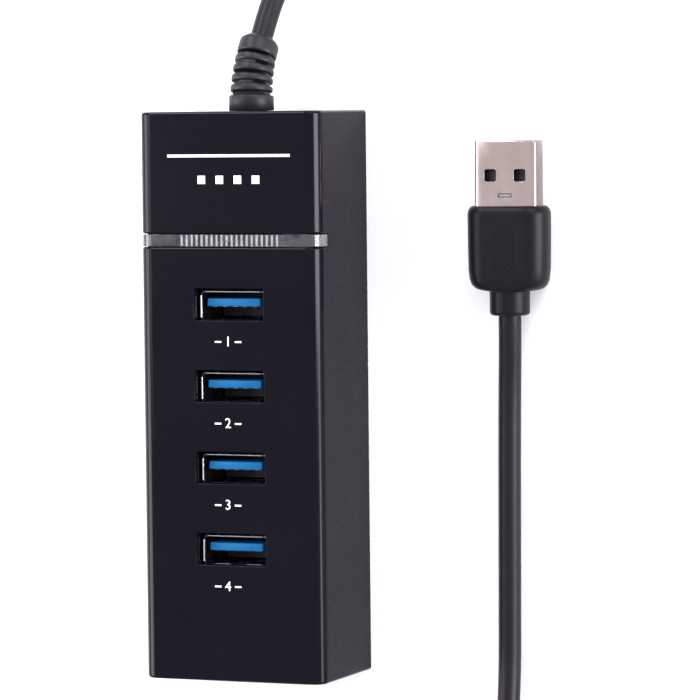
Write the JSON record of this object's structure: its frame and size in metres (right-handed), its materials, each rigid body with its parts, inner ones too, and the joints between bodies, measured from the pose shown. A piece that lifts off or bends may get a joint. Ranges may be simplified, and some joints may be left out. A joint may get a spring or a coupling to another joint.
{
  "type": "usb hub",
  "caption": "Slim box-shaped data hub with a row of receptacles on its front face, a ribbed clear light bar, a slotted strain relief and a captive lead that ends in a flat plug",
  "frame": {"origin": "on the surface that the hub rests on, under the middle of its housing", "axes": "+Y along the housing towards its lead, +Z out of the port face, +X across the housing"},
  "size_m": [0.1079, 0.1933, 0.024],
  "materials": {
    "gloss_housing": "moulded gloss black",
    "matte_cover": "fine matte black",
    "light_guide": "clear ribbed plastic",
    "circuit_board": "solder mask",
    "chip_package": "moulded epoxy",
    "tinned_metal": "satin",
    "lamp": "frosted",
    "cord_jacket": "soft satin black",
    "tie_strap": "matte black",
    "plug_grip": "fine matte black",
    "nickel_shell": "nickel plated",
    "blue_insulator": "satin blue",
    "screw_steel": "zinc plated",
    "wire_red": "satin",
    "wire_white": "satin",
    "wire_blue": "satin",
    "wire_green": "satin"
  },
  "bodies": {
    "root": {"board_screw_1": "screw_steel", "board_screw_2": "screw_steel", "board_screw_3": "screw_steel", "board_screw_4": "screw_steel", "bottom_cover": "matte_cover", "cable_tail": "cord_jacket", "cable_tie": "tie_strap", "circuit_board": "circuit_board", "crystal": "tinned_metal", "data_pair": "wire_white", "fast_pair_a": "wire_blue", "fast_pair_b": "wire_green", "front_housing": "gloss_housing", "ground_wire": "chip_package", "hub_controller_chip": "chip_package", "input_capacitor": "tinned_metal", "lead_coil": "cord_jacket", "lead_hub_run": "cord_jacket", "lead_plug_run": "cord_jacket", "light_guide_bar": "light_guide", "output_capacitor": "tinned_metal", "plug_overmold": "plug_grip", "plug_shell": "nickel_shell", "plug_tongue": "blue_insulator", "port_1_shell": "nickel_shell", "port_1_tongue": "blue_insulator", "port_2_shell": "nickel_shell", "port_2_tongue": "blue_insulator", "port_3_shell": "nickel_shell", "port_3_tongue": "blue_insulator", "port_4_shell": "nickel_shell", "port_4_tongue": "blue_insulator", "power_wire": "wire_red", "status_led_left": "lamp", "status_led_right": "lamp", "strain_relief_boot": "cord_jacket", "voltage_regulator": "chip_package"}
  },
  "joints": []
}
